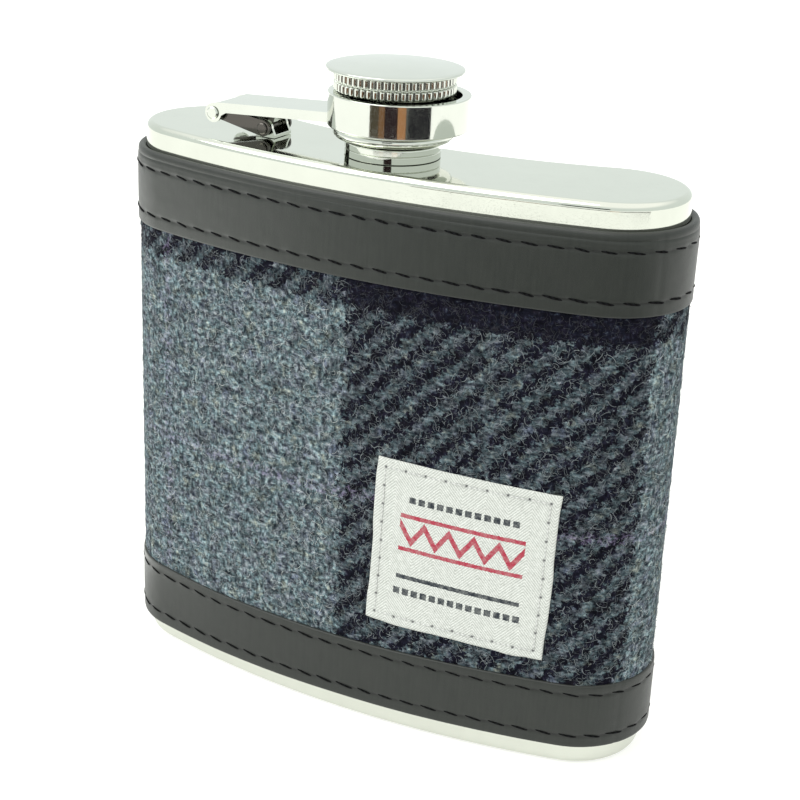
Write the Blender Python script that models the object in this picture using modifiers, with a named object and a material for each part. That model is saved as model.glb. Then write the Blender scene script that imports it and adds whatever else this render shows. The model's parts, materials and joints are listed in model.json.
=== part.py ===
"""Hip flask with a captive screw cap and a stitched leather and cloth sleeve.

Frame: +X along the width, +Y away from the convex front, +Z up. The origin is
the centre of the bounding box's footprint, on the flat base. Units are metres.
"""
import math

import bmesh
import bpy
from mathutils import Matrix, Vector

# Metal body: a kidney section made of four tangent arcs
BODY_WIDTH = 0.0920
BODY_DEPTH = 0.0212          # front arc to back arc on the centre line
FRONT_RADIUS = 0.1530
END_RADIUS = 0.01147
SHEET = 0.0006               # stainless sheet
SHOULDER_Z = 0.09064         # flat top of the shoulder plate
EDGE_RADIUS = 0.0011
UPPER_SEAM_Z = 0.0855        # weld seams, both hidden under the leather
LOWER_SEAM_Z = 0.0056
FRONT_STEPS = 16
END_STEPS = 16
BACK_STEPS = 12

# Sleeve: distances out from the metal, and heights
FIT_GAP = 0.00012
CLOTH_FACE = 0.00109
BAND_FACE = 0.00146
LAP_GAP = 0.00005
UPPER_BAND = (0.07444, 0.08684)
LOWER_BAND = (0.00416, 0.01495)
CLOTH = (0.01120, 0.07800)
STITCH_RADIUS = 0.00020
STITCH_Z = {
    "upper_band_top_stitch": 0.08402,
    "upper_band_edge_stitch": 0.07654,
    "lower_band_edge_stitch": 0.01336,
    "lower_band_bottom_stitch": 0.00625,
}

# Woven label, on the front to the right of the middle
LABEL_WIDTH = 0.0291
LABEL_HEIGHT = 0.0280
LABEL_THICKNESS = 0.00035
LABEL_CENTRE = (0.0206, 0.0328)
LABEL_TILT = math.radians(-2.2)
LABEL_MARGIN = 0.0015

# Neck and cap, turned about the vertical neck axis
NECK_SET_BACK = 0.0118       # neck axis behind the front of the metal
NECK_BORE = 0.0045
NECK_RADIUS = 0.0053
NECK_TOP = 0.0979
PITCH = 0.0020
CORE_BORE = 0.0065
CORE_RADIUS = 0.0070
CORE_BASE = 0.0932
KNURL_RADIUS = 0.00925
KNURL_DEPTH = 0.0005
KNURL_TEETH = 54
KNURL_ROWS = (0.10076, 0.10212)
KNURL_ROW_HEIGHT = 0.00128
RIM_RADIUS = 0.01049
RIM_Z = 0.10350
CAP_TOP = 0.10440
TURN_STEPS = 48
THREAD_STEPS = 20               # per turn

# Captive ring, held off centre by its slack, and its swing arm
RING_OFFSET = 0.00085
RING_RADIUS = 0.01078
RING_BORE = 0.00935
RING_LIP = 0.00835
RING_Z = (0.09524, 0.10030)
JOIN_GAP = 0.00008
ARM_PIVOT = (-0.0298, 0.0937)     # x, z of the rivet at the arm's far end
LINK_PIVOT = (-0.0213, 0.0922)    # x, z of the pin in the welded bracket
ARM_SLOPE = math.radians(3.3)
ARM_WIDTH = 0.0086
ARM_TOP = 0.00165                 # above the rivet's axis
ARM_LIP = 0.00010                 # lower edge of the arm's side walls
ARM_SHEET = 0.0005
ARM_EAR = 0.0015
WEB_START = 0.0008                # the arm's top stops short of its ears
LINK_WIDTH = 0.0066
LINK_EYE = 0.00125
LINK_TIP = 0.00095
LINK_OVERRUN = 0.00015
BRACKET_WIDTH = 0.0048
PIN_RADIUS = 0.00040
PIN_PLAY = 0.00010
FORK_HALF = 0.00055

STEEL = ((0.80, 0.81, 0.80), 1.0, 0.12)
RUBBER = ((0.08, 0.08, 0.08), 0.0, 0.60)
LEATHER = ((0.050, 0.053, 0.050), 0.0, 0.55)
TWEED = ((0.13, 0.16, 0.21), 0.0, 0.95)
THREAD_BLACK = ((0.012, 0.012, 0.014), 0.0, 0.80)
THREAD_WHITE = ((0.80, 0.80, 0.78), 0.0, 0.85)
WOVEN = ((0.72, 0.74, 0.71), 0.0, 0.90)

TINY = 0.00001


def section_arcs():
    """Centre, radius, start and end angle, steps and side of the four arcs."""
    end_x = BODY_WIDTH / 2 - END_RADIUS
    front_y = FRONT_RADIUS - BODY_DEPTH / 2
    reach = FRONT_RADIUS - END_RADIUS
    end_y = front_y - math.sqrt(reach ** 2 - end_x ** 2)
    rise = BODY_DEPTH / 2 - end_y
    back_radius = (END_RADIUS ** 2 - end_x ** 2 - rise ** 2) / (2 * (rise - END_RADIUS))
    back_y = BODY_DEPTH / 2 + back_radius
    front_half = math.asin(end_x / reach)
    back_half = math.asin(end_x / (back_radius + END_RADIUS))
    down = -math.pi / 2
    sweep_start = down + front_half
    sweep_end = math.pi / 2 + back_half
    return (
        ((0, front_y), FRONT_RADIUS, down - front_half, sweep_start, FRONT_STEPS, 1),
        ((end_x, end_y), END_RADIUS, sweep_start, sweep_end, END_STEPS, 1),
        ((0, back_y), back_radius, down + back_half, down - back_half, BACK_STEPS, -1),
        ((-end_x, end_y), END_RADIUS, math.pi - sweep_end, math.pi - sweep_start, END_STEPS, 1),
    )


ARCS = section_arcs()
# The section's depth runs from the middle of the front to the backs of its ends
MID_Y = (ARCS[1][0][1] + END_RADIUS - BODY_DEPTH / 2) / 2
NECK_Y = NECK_SET_BACK - BODY_DEPTH / 2 - MID_Y


def section(offset):
    """The body's outline moved out by offset, anticlockwise from the front left."""
    points = []
    for (cx, cy), radius, start, end, steps, side in ARCS:
        reach = radius + side * offset
        for step in range(steps):
            angle = start + (end - start) * step / steps
            x = cx + reach * math.cos(angle)
            y = cy + reach * math.sin(angle) - MID_Y
            points.append((x, y))
    return points


def on_front(along, offset):
    """Point of the front arc at an arc length from the middle, moved out by offset."""
    (_, cy), radius = ARCS[0][0], ARCS[0][1]
    angle = along / radius - math.pi / 2
    reach = radius + offset
    return reach * math.cos(angle), cy + reach * math.sin(angle) - MID_Y


def clear_scene():
    for item in list(bpy.data.objects):
        bpy.data.objects.remove(item, do_unlink=True)


def collection(name):
    group = bpy.data.collections.new(name)
    bpy.context.scene.collection.children.link(group)
    return group


clear_scene()
PARTS = collection("hip_flask")
CUTTERS = collection("cutters")


def material(name, look):
    colour, metallic, roughness = look
    surface = bpy.data.materials.new(name)
    surface.use_nodes = True
    shader = surface.node_tree.nodes["Principled BSDF"]
    shader.inputs["Base Color"].default_value = (*colour, 1.0)
    shader.inputs["Metallic"].default_value = metallic
    shader.inputs["Roughness"].default_value = roughness
    surface.diffuse_color = (*colour, 1.0)
    return surface


def finish(obj, look, sharp=35):
    obj.data.materials.clear()
    obj.data.materials.append(material(obj.name + "_mat", look))
    obj.data.shade_smooth()
    obj.data.set_sharp_from_angle(angle=math.radians(sharp))
    return obj


def as_cutter(obj):
    obj.hide_render = True
    obj.display_type = "WIRE"
    for group in list(obj.users_collection):
        group.objects.unlink(obj)
    CUTTERS.objects.link(obj)
    return obj


def new_object(name, mesh, location=(0, 0, 0)):
    obj = bpy.data.objects.new(name, mesh)
    obj.location = location
    PARTS.objects.link(obj)
    return obj


def boolean(obj, other, operation="DIFFERENCE"):
    as_cutter(other)
    step = obj.modifiers.new(operation.lower(), "BOOLEAN")
    step.operation = operation
    step.solver = "EXACT"
    step.object = other
    return obj


def loop_edges(bm, points, z):
    verts = [bm.verts.new((x, y, z)) for x, y in points]
    return [bm.edges.new((a, b)) for a, b in zip(verts, verts[1:] + verts[:1])]


def raise_edges(bm, edges, height):
    made = bmesh.ops.extrude_edge_only(bm, edges=edges)["geom"]
    verts = [item for item in made if isinstance(item, bmesh.types.BMVert)]
    bmesh.ops.translate(bm, verts=verts, vec=(0, 0, height))


def solidify(obj, thickness, outward):
    step = obj.modifiers.new("thickness", "SOLIDIFY")
    step.thickness = thickness
    step.offset = 1 if outward else -1
    step.use_even_offset = True
    return obj


def wall(name, offset, z_range, thickness, outward=True):
    """Upright wall on the body's outline, thickened outward or inward."""
    bm = bmesh.new()
    edges = loop_edges(bm, section(offset), z_range[0])
    raise_edges(bm, edges, z_range[1] - z_range[0])
    bmesh.ops.recalc_face_normals(bm, faces=bm.faces)
    mesh = bpy.data.meshes.new(name)
    bm.to_mesh(mesh)
    bm.free()
    return solidify(new_object(name, mesh), thickness, outward)


def pan(name, flat_z, open_z, rounding=3):
    """Pressed pan: a flat kidney plate with a rounded edge and a short skirt."""
    bm = bmesh.new()
    edges = loop_edges(bm, section(0), flat_z)
    bmesh.ops.contextual_create(bm, geom=edges)
    rim = [edge for edge in bm.edges if edge.is_boundary]
    raise_edges(bm, rim, open_z - flat_z)
    bmesh.ops.recalc_face_normals(bm, faces=bm.faces)
    plate = max(bm.faces, key=lambda face: len(face.verts))
    outward = 1 if flat_z > open_z else -1
    if plate.normal.z * outward < 0:
        bmesh.ops.reverse_faces(bm, faces=bm.faces)
    mesh = bpy.data.meshes.new(name)
    bm.to_mesh(mesh)
    bm.free()
    obj = new_object(name, mesh)
    edge = obj.modifiers.new("rounded_edge", "BEVEL")
    edge.width = EDGE_RADIUS
    edge.segments = rounding
    edge.limit_method = "ANGLE"
    edge.angle_limit = math.radians(45)
    return solidify(obj, SHEET, outward=False)


def turned(name, profile, centre, closed=False, steps=TURN_STEPS):
    """Profile of (radius, z), run down the outer side, turned about a vertical axis."""
    mesh = bpy.data.meshes.new(name)
    count = len(profile)
    edges = [(i, i + 1) for i in range(count - 1)]
    if closed:
        edges.append((count - 1, 0))
    mesh.from_pydata([(r, 0, z) for r, z in profile], edges, [])
    obj = new_object(name, mesh, (centre[0], centre[1], 0))
    turn = obj.modifiers.new("turn", "SCREW")
    turn.axis = "Z"
    turn.steps = steps
    turn.render_steps = steps
    turn.use_merge_vertices = True
    turn.merge_threshold = TINY
    return obj


def evaluated_mesh(obj):
    bpy.context.view_layer.update()
    ready = obj.evaluated_get(bpy.context.evaluated_depsgraph_get())
    mesh = bpy.data.meshes.new_from_object(ready)
    bm = bmesh.new()
    bm.from_mesh(mesh)
    bmesh.ops.remove_doubles(bm, verts=bm.verts, dist=TINY / 10)
    bm.to_mesh(mesh)
    bm.free()
    return mesh


def curve_to_mesh(obj):
    mesh = evaluated_mesh(obj)
    name = obj.name
    placed = obj.matrix_world.copy()
    bpy.data.objects.remove(obj, do_unlink=True)
    made = new_object(name, mesh)
    made.matrix_world = placed
    made.name = name
    return made


def path_curve(name, points, radius, cyclic, resolution=0):
    data = bpy.data.curves.new(name, "CURVE")
    data.dimensions = "3D"
    data.bevel_depth = radius
    data.bevel_resolution = resolution
    data.use_fill_caps = True
    spline = data.splines.new("POLY")
    spline.points.add(len(points) - 1)
    for point, spot in zip(spline.points, points):
        point.co = (*spot, 1)
    spline.use_cyclic_u = cyclic
    return new_object(name, data)


def flat_curve(name, loops, thickness):
    """Filled flat outline in the local XY plane, thickened both ways."""
    data = bpy.data.curves.new(name, "CURVE")
    data.dimensions = "2D"
    data.fill_mode = "BOTH"
    data.extrude = thickness / 2
    for loop in loops:
        spline = data.splines.new("POLY")
        spline.points.add(len(loop) - 1)
        for point, (x, y) in zip(spline.points, loop):
            point.co = (x, y, 0, 1)
        spline.use_cyclic_u = True
    return new_object(name, data)


def upright(obj, location, slope=0.0):
    """Stands a flat curve in the XZ plane, turned by slope about the depth axis."""
    stand = Matrix.Rotation(math.pi / 2, 4, "X")
    lean = Matrix.Rotation(-slope, 4, "Y")
    obj.matrix_world = Matrix.Translation(location) @ lean @ stand
    return curve_to_mesh(obj)


def box(name, centre, size, slope=0.0):
    bm = bmesh.new()
    bmesh.ops.create_cube(bm, size=1.0)
    bmesh.ops.scale(bm, verts=bm.verts, vec=size)
    mesh = bpy.data.meshes.new(name)
    bm.to_mesh(mesh)
    bm.free()
    obj = new_object(name, mesh, centre)
    obj.rotation_euler = (0, -slope, 0)
    return obj


def rod(name, centre, radius, length, steps=24, axis="Y"):
    bm = bmesh.new()
    bmesh.ops.create_cone(bm, cap_ends=True, segments=steps, radius1=radius,
                          radius2=radius, depth=length)
    if axis == "Y":
        bmesh.ops.rotate(bm, verts=bm.verts, matrix=Matrix.Rotation(math.pi / 2, 3, "X"))
    mesh = bpy.data.meshes.new(name)
    bm.to_mesh(mesh)
    bm.free()
    return new_object(name, mesh, centre)


def body_metal():
    finish(pan("base_pan", 0.0, LOWER_SEAM_Z, rounding=2), STEEL)
    seams = (LOWER_SEAM_Z + 0.0003, UPPER_SEAM_Z)
    finish(wall("body_shell", 0, seams, SHEET, outward=False), STEEL)
    plate = pan("shoulder_plate", SHOULDER_Z, UPPER_SEAM_Z + 0.0003)
    hole = rod("neck_hole", (0, NECK_Y, SHOULDER_Z), NECK_RADIUS + 0.0003, 0.01, 48, "Z")
    finish(boolean(plate, hole), STEEL)


def helix(name, radius, z_start, turns, wire, centre):
    steps = int(turns * THREAD_STEPS)
    points = []
    for step in range(steps + 1):
        angle = 2 * math.pi * step / THREAD_STEPS
        z = z_start + PITCH * step / THREAD_STEPS
        points.append((radius * math.cos(angle), radius * math.sin(angle), z))
    ridge = path_curve(name, points, wire, cyclic=False)
    ridge.location = (centre[0], centre[1], 0)
    return curve_to_mesh(ridge)


def neck():
    centre = (0, NECK_Y)
    lip = 0.0003
    flange_top = SHOULDER_Z - SHEET - 0.0003
    profile = (
        (NECK_BORE, NECK_TOP - lip), (NECK_BORE + lip, NECK_TOP),
        (NECK_RADIUS - lip, NECK_TOP), (NECK_RADIUS, NECK_TOP - lip),
        (NECK_RADIUS, flange_top), (0.0078, flange_top),
        (0.0078, flange_top - 0.0008), (NECK_BORE, flange_top - 0.0008),
    )
    tube = turned("neck_tube", profile, centre, closed=True, steps=48)
    ridge = helix("neck_thread", NECK_RADIUS + 0.00002, 0.09365, 1.7, 0.00036, centre)
    finish(boolean(tube, ridge, "UNION"), STEEL)
    base, top = SHOULDER_Z + 0.00008, 0.0929
    radius = 0.00733
    profile = (
        (NECK_RADIUS + 0.0005, top), (radius - 0.0002, top), (radius, top - 0.0002),
        (radius, base), (NECK_RADIUS + 0.0005, base),
    )
    finish(turned("neck_collar", profile, centre, closed=True), STEEL)


def knurl_row(name, z, phase):
    """Ring of pointed teeth, one row of the grip."""
    outer = []
    for index in range(KNURL_TEETH * 2):
        radius = KNURL_RADIUS - (KNURL_DEPTH * 0.8 if index % 2 else 0)
        angle = 2 * math.pi * (index / 2 + phase) / KNURL_TEETH
        outer.append((radius * math.cos(angle), radius * math.sin(angle)))
    inner = arc((0, 0), KNURL_RADIUS - 2 * KNURL_DEPTH, 0, 360, TURN_STEPS)[:-1]
    row = flat_curve(name, [outer, inner], KNURL_ROW_HEIGHT)
    row.location = (0, NECK_Y, z + KNURL_ROW_HEIGHT / 2)
    return curve_to_mesh(row)


def cap():
    centre = (0, NECK_Y)
    root = KNURL_RADIUS - KNURL_DEPTH
    underside = KNURL_ROWS[0] - 0.0001
    socket = CORE_RADIUS + 0.00008
    dome = [(RIM_RADIUS * 0.94 * math.sin(math.radians(a)) / math.sin(math.radians(20)),
             RIM_Z + 0.00045 + (CAP_TOP - RIM_Z - 0.00045)
             * (math.cos(math.radians(a)) - math.cos(math.radians(20)))
             / (1 - math.cos(math.radians(20)))) for a in (0, 5, 10, 15, 20)]
    profile = dome + [
        (RIM_RADIUS - 0.00022, RIM_Z + 0.00028), (RIM_RADIUS, RIM_Z),
        (RIM_RADIUS - 0.00022, RIM_Z - 0.00022), (root, RIM_Z - 0.00025),
        (root, underside), (socket, underside), (socket, 0.10205), (0, 0.10205),
    ]
    head = turned("cap_head", profile, centre)
    for index, z in enumerate(KNURL_ROWS):
        row = knurl_row(f"knurl_row_{index}", z, index / 2)
        boolean(head, row, "UNION")
    finish(head, STEEL)

    core_top, ceiling = 0.10197, 0.0995
    profile = (
        (0, core_top), (CORE_RADIUS, core_top), (CORE_RADIUS, 0.09505),
        (0.00855, 0.09500), (0.00905, 0.09465), (0.00920, 0.09420),
        (0.00905, 0.09365), (0.00850, 0.09335), (0.00780, CORE_BASE),
        (CORE_BORE, CORE_BASE), (CORE_BORE, ceiling), (0, ceiling),
    )
    core = turned("cap_core", profile, centre)
    ridge = helix("core_thread", CORE_BORE + 0.00012, 0.09400, 1.6, 0.00034, centre)
    finish(boolean(core, ridge, "UNION"), STEEL)
    profile = ((0, 0.09920), (0.00605, 0.09920), (0.00605, 0.09820), (0, 0.09820))
    finish(turned("cap_gasket", profile, centre, steps=32), RUBBER)


def ring():
    centre = (RING_OFFSET, NECK_Y)
    low, high = RING_Z
    edge = 0.00025
    shelf = low + 0.0009
    profile = (
        (RING_BORE + edge, high), (RING_RADIUS - edge, high), (RING_RADIUS, high - edge),
        (RING_RADIUS, low + edge), (RING_RADIUS - edge, low), (RING_LIP, low),
        (RING_LIP, shelf), (RING_BORE, shelf), (RING_BORE, high - edge),
    )
    finish(turned("captive_ring", profile, centre, closed=True), STEEL)


def arc(centre, radius, start, end, steps):
    angles = [math.radians(start + (end - start) * i / steps) for i in range(steps + 1)]
    return [(centre[0] + radius * math.cos(a), centre[1] + radius * math.sin(a)) for a in angles]


def arm():
    pivot = Vector((ARM_PIVOT[0], NECK_Y, ARM_PIVOT[1]))
    reach = RING_OFFSET - ARM_PIVOT[0]
    side = arc((0, 0), ARM_EAR, 90, 345, 18)
    side += [(ARM_EAR + 0.0009, ARM_LIP), (reach, ARM_LIP), (reach, ARM_TOP), (0.0006, ARM_TOP)]
    obj = upright(flat_curve("swing_arm", [side], ARM_WIDTH), pivot, ARM_SLOPE)

    lean = Matrix.Rotation(-ARM_SLOPE, 4, "Y")
    depth = 0.01
    middle = pivot + lean @ Vector((reach / 2, 0, ARM_TOP - ARM_SHEET - depth / 2))
    inside = ARM_WIDTH - 2 * ARM_SHEET
    boolean(obj, box("arm_channel", middle, (reach * 2, inside, depth), ARM_SLOPE))
    mouth = pivot + lean @ Vector((WEB_START - depth / 2, 0, 0))
    boolean(obj, box("arm_mouth", mouth, (depth, inside, depth), ARM_SLOPE))
    seat = rod("arm_seat", (RING_OFFSET, NECK_Y, pivot.z), RING_RADIUS + JOIN_GAP, 0.02,
               TURN_STEPS, "Z")
    boolean(obj, seat)
    hole = rod("arm_pin_hole", pivot, PIN_RADIUS + PIN_PLAY, 0.02, 16)
    finish(boolean(obj, hole), STEEL)


def headed_pin(name, pivot, half_length, head_radius, head):
    """Turned pin with a flat head on each end, its origin on its own axis."""
    r = PIN_RADIUS
    h = half_length
    profile = ((0, h + head), (head_radius * 0.8, h + head), (head_radius, h + head * 0.5),
               (head_radius, h), (r, h), (r, -h), (head_radius, -h),
               (head_radius, -h - head * 0.5), (head_radius * 0.8, -h - head), (0, -h - head))
    pin = turned(name, profile, (0, 0), steps=16)
    pin.matrix_world = Matrix.Translation(pivot) @ Matrix.Rotation(math.pi / 2, 4, "X")
    finish(pin, STEEL)


def link():
    pivot = Vector((LINK_PIVOT[0], NECK_Y, LINK_PIVOT[1]))
    far = Vector((ARM_PIVOT[0] - LINK_PIVOT[0], ARM_PIVOT[1] - LINK_PIVOT[1]))
    length = far.length
    slope = math.atan2(far.y, -far.x)
    tip = length + LINK_OVERRUN
    side = arc((0, 0), LINK_EYE, -90, 90, 12) + arc((-tip, 0), LINK_TIP, 90, 270, 12)
    obj = upright(flat_curve("hinge_link", [side], LINK_WIDTH), pivot, -slope)

    along = Matrix.Rotation(slope, 4, "Y")
    inside = LINK_WIDTH - 2 * ARM_SHEET
    web = 0.00068
    depth = 0.01
    low = pivot + along @ Vector((-length / 2, 0, web - depth / 2))
    boolean(obj, box("link_channel", low, (0.03, inside, depth), -slope))
    for index, x in enumerate((-length - 0.0020, 0.0020)):
        spot = pivot + along @ Vector((x, 0, 0))
        boolean(obj, box(f"link_end_{index}", spot, (0.0060, inside, 0.01), -slope))
    slot = pivot + along @ Vector((-length - 0.0025, 0, 0))
    boolean(obj, box("fork_slot", slot, (0.0062, 0.02, 2 * FORK_HALF), -slope))
    hole = rod("link_eye", pivot, PIN_RADIUS + PIN_PLAY, 0.02, 16)
    finish(boolean(obj, hole), STEEL)


def bracket():
    pivot = Vector((LINK_PIVOT[0], NECK_Y, LINK_PIVOT[1]))
    base = SHOULDER_Z + JOIN_GAP - LINK_PIVOT[1]
    foot = 0.0017
    ear = 0.0012
    side = [(-foot, base), (foot, base), (foot, base + 0.0004)]
    side += arc((0, 0), ear, 0, 180, 12) + [(-foot, base + 0.0004)]
    obj = upright(flat_curve("hinge_bracket", [side], BRACKET_WIDTH), pivot)
    inside = BRACKET_WIDTH - 2 * ARM_SHEET
    floor = base + ARM_SHEET
    gap = box("bracket_gap", pivot + Vector((0, 0, floor + 0.005)), (0.01, inside, 0.01))
    boolean(obj, gap)
    hole = rod("bracket_eye", pivot, PIN_RADIUS + PIN_PLAY, 0.02, 16)
    finish(boolean(obj, hole), STEEL)


def hinge():
    arm()
    link()
    bracket()
    arm_pivot = (ARM_PIVOT[0], NECK_Y, ARM_PIVOT[1])
    link_pivot = (LINK_PIVOT[0], NECK_Y, LINK_PIVOT[1])
    headed_pin("arm_rivet", arm_pivot, ARM_WIDTH / 2 + JOIN_GAP, 0.0010, 0.00030)
    headed_pin("link_pin", link_pivot, LINK_WIDTH / 2 + JOIN_GAP, 0.0009, 0.00020)


def sleeve():
    cloth = wall("tweed_panel", FIT_GAP, CLOTH, CLOTH_FACE - FIT_GAP)
    finish(cloth, TWEED)
    bands = (("upper_band", UPPER_BAND, UPPER_BAND[0], CLOTH[1] + 0.0003),
             ("lower_band", LOWER_BAND, CLOTH[0] - 0.0003, LOWER_BAND[1]))
    for name, heights, lap_low, lap_high in bands:
        band = wall(name, FIT_GAP, heights, BAND_FACE - FIT_GAP)
        margin = 0.001
        low = lap_low - (margin if lap_low == heights[0] else 0)
        high = lap_high + (margin if lap_high == heights[1] else 0)
        lap = wall(name + "_lap", -0.001, (low, high), CLOTH_FACE + LAP_GAP + 0.001)
        finish(boolean(band, lap), LEATHER)
    for name, z in STITCH_Z.items():
        reach = BAND_FACE + LAP_GAP + STITCH_RADIUS
        points = [(x, y, z) for x, y in section(reach)]
        finish(curve_to_mesh(path_curve(name, points, STITCH_RADIUS, cyclic=True)), THREAD_BLACK)


def label_spot(u, v, offset):
    """Point of the tilted label's frame on the curved front, moved out by offset."""
    cos, sin = math.cos(LABEL_TILT), math.sin(LABEL_TILT)
    along = LABEL_CENTRE[0] + u * cos - v * sin
    z = LABEL_CENTRE[1] + u * sin + v * cos
    x, y = on_front(along, offset)
    return x, y, z


def label():
    face = CLOTH_FACE + LAP_GAP
    patch = wall("woven_label", face, CLOTH, LABEL_THICKNESS)
    x, y, z = label_spot(0, 0, face)
    frame = box("label_outline", (x, y, z), (LABEL_WIDTH, 0.012, LABEL_HEIGHT), LABEL_TILT)
    finish(boolean(patch, frame, "INTERSECT"), WOVEN)
    half_u = LABEL_WIDTH / 2 - LABEL_MARGIN
    half_v = LABEL_HEIGHT / 2 - LABEL_MARGIN
    corners = ((-half_u, -half_v), (half_u, -half_v), (half_u, half_v), (-half_u, half_v))
    steps = 10
    points = []
    thread = 0.00012
    reach = face + LABEL_THICKNESS + LAP_GAP + thread
    for (u0, v0), (u1, v1) in zip(corners, corners[1:] + corners[:1]):
        for step in range(steps):
            part = step / steps
            points.append(label_spot(u0 + (u1 - u0) * part, v0 + (v1 - v0) * part, reach))
    finish(curve_to_mesh(path_curve("label_stitch", points, thread, cyclic=True)), THREAD_WHITE)


def build():
    body_metal()
    neck()
    cap()
    ring()
    hinge()
    sleeve()
    label()


build()
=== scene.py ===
"""Looks of the leather and tweed hip flask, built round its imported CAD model.

Metres throughout, +Z up, the flask's front facing -Y. Places round the body are given as
`along`, the arc length from the middle of the front at the cloth's face, and a height z.
"""

import json
import math

import bmesh
import bpy
import numpy as np
from mathutils import Matrix, Vector


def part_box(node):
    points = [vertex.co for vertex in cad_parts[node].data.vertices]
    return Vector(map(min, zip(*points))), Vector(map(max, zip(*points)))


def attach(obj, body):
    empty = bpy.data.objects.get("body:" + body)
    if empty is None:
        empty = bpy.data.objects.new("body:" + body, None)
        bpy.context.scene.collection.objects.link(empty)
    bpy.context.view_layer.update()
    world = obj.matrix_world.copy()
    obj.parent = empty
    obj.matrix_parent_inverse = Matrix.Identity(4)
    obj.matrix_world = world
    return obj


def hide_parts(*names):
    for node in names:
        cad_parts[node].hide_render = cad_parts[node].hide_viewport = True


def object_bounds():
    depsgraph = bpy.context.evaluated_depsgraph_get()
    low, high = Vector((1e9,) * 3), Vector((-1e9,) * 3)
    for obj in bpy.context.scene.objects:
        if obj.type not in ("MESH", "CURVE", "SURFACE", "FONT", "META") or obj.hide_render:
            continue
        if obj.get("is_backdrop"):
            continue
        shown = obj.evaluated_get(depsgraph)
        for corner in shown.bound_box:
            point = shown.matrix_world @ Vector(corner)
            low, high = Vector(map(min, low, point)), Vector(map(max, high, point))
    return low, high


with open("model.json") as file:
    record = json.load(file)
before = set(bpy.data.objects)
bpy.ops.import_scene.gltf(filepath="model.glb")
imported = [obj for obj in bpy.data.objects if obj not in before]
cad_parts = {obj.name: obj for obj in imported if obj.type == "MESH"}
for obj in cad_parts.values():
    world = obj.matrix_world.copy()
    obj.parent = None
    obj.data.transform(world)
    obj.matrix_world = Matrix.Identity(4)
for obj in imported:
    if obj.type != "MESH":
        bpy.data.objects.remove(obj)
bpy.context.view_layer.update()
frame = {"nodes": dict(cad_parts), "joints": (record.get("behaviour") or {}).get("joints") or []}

MM = 0.001
SEED = 20

# ---- driving dimensions
plate_low, plate_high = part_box("shoulder_plate")
BODY_WIDTH = plate_high.x - plate_low.x
SHOULDER_Z = plate_high.z
BODY_DEPTH = 0.0212
FRONT_RADIUS = 0.153
END_RADIUS = 0.01147
EDGE_RADIUS = 0.0011
UPPER_SEAM_Z = plate_low.z
LOWER_SEAM_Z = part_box("base_pan")[1].z
CLOTH_FACE = 0.00109
BAND_FACE = 0.00146
CLOTH, UPPER_BAND, LOWER_BAND = (tuple(corner.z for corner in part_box(node))
                                 for node in ("tweed_panel", "upper_band", "lower_band"))

JOINTS = {joint["name"]: joint for joint in frame["joints"]}
NECK_Y = JOINTS["cap_turn"]["pos_m"][1]

LABEL_WIDTH = 0.0291
LABEL_HEIGHT = 0.028
LABEL_THICKNESS = 0.00035
LABEL_CENTRE = (0.0206, 0.0328)
LABEL_TILT = math.radians(-2.2)
LABEL_MARGIN = 0.0015

YARN = 1.2 * MM  # width of one tweed yarn
BLOCK = 47.8 * MM  # width of one block of the check
DARK_WEFT_Z = 70 * MM  # above it the weft is navy
LILAC_ROW_Z = 39.5 * MM  # the two overcheck yarns, level and upright
LILAC_COLUMN = -36 * MM
HAIRS, HAIR_JOINTS = 30000, 6
BAND_JOINT = 47.5 * MM  # where the ends of each leather band meet
STITCH_LEAN = -0.15  # slant of one stitch, in radians
PITCH = 2 * MM  # of the neck's thread
SUPPORT = 1.12  # how far out a fillet's support point is, in fillet sizes


# ---- the body's outline
def section_arcs():
    """Front arc, right end, back arc and left end: centre, radius, angles, outward sign."""
    end_x = BODY_WIDTH / 2 - END_RADIUS
    front_y = FRONT_RADIUS - BODY_DEPTH / 2
    reach = FRONT_RADIUS - END_RADIUS
    end_y = front_y - math.sqrt(reach ** 2 - end_x ** 2)
    rise = BODY_DEPTH / 2 - end_y
    back_radius = (END_RADIUS ** 2 - end_x ** 2 - rise ** 2) / (2 * (rise - END_RADIUS))
    back_y = BODY_DEPTH / 2 + back_radius
    front_half = math.asin(end_x / reach)
    back_half = math.asin(end_x / (back_radius + END_RADIUS))
    down = -math.pi / 2
    return (((0, front_y), FRONT_RADIUS, down, down + front_half, 1),
            ((end_x, end_y), END_RADIUS, down + front_half, math.pi / 2 + back_half, 1),
            ((0, back_y), back_radius, down + back_half, down, -1))


HALF_ARCS = section_arcs()
MID_Y = (HALF_ARCS[1][0][1] + END_RADIUS - BODY_DEPTH / 2) / 2
HALF_LENGTHS = [(radius + sign * CLOTH_FACE) * abs(end - start)
                for _, radius, start, end, sign in HALF_ARCS]
GIRTH = 2 * sum(HALF_LENGTHS)
STITCHES = int(GIRTH / (3.75 * MM))  # in one row round a band
STITCH_PITCH = GIRTH / STITCHES


def around(along, offset):
    """x, y and the outward normal at an arc length round the body, moved out by offset."""
    along = np.asarray(along, float)
    side = np.where(along < 0, -1, 1)
    left = np.abs(along)
    shape = np.broadcast(along, offset).shape
    x, y, nx, ny = (np.zeros(shape) for _ in range(4))
    passed = 0
    for ((cx, cy), radius, start, end, sign), length in zip(HALF_ARCS, HALF_LENGTHS):
        part = np.clip((left - passed) / length, 0, 1)
        angle = start + (end - start) * part
        reach = radius + sign * offset
        here = np.broadcast_to(left >= passed, shape)
        x = np.where(here, cx + reach * np.cos(angle), x)
        y = np.where(here, cy + reach * np.sin(angle), y)
        nx = np.where(here, sign * np.cos(angle), nx)
        ny = np.where(here, sign * np.sin(angle), ny)
        passed += length
    return x * side, y - MID_Y, nx * side, ny


def girth_stations(step):
    """Arc lengths from the middle of the back round to it again."""
    count = int(GIRTH / step)
    return -GIRTH / 2 + GIRTH * np.arange(count) / count


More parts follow.
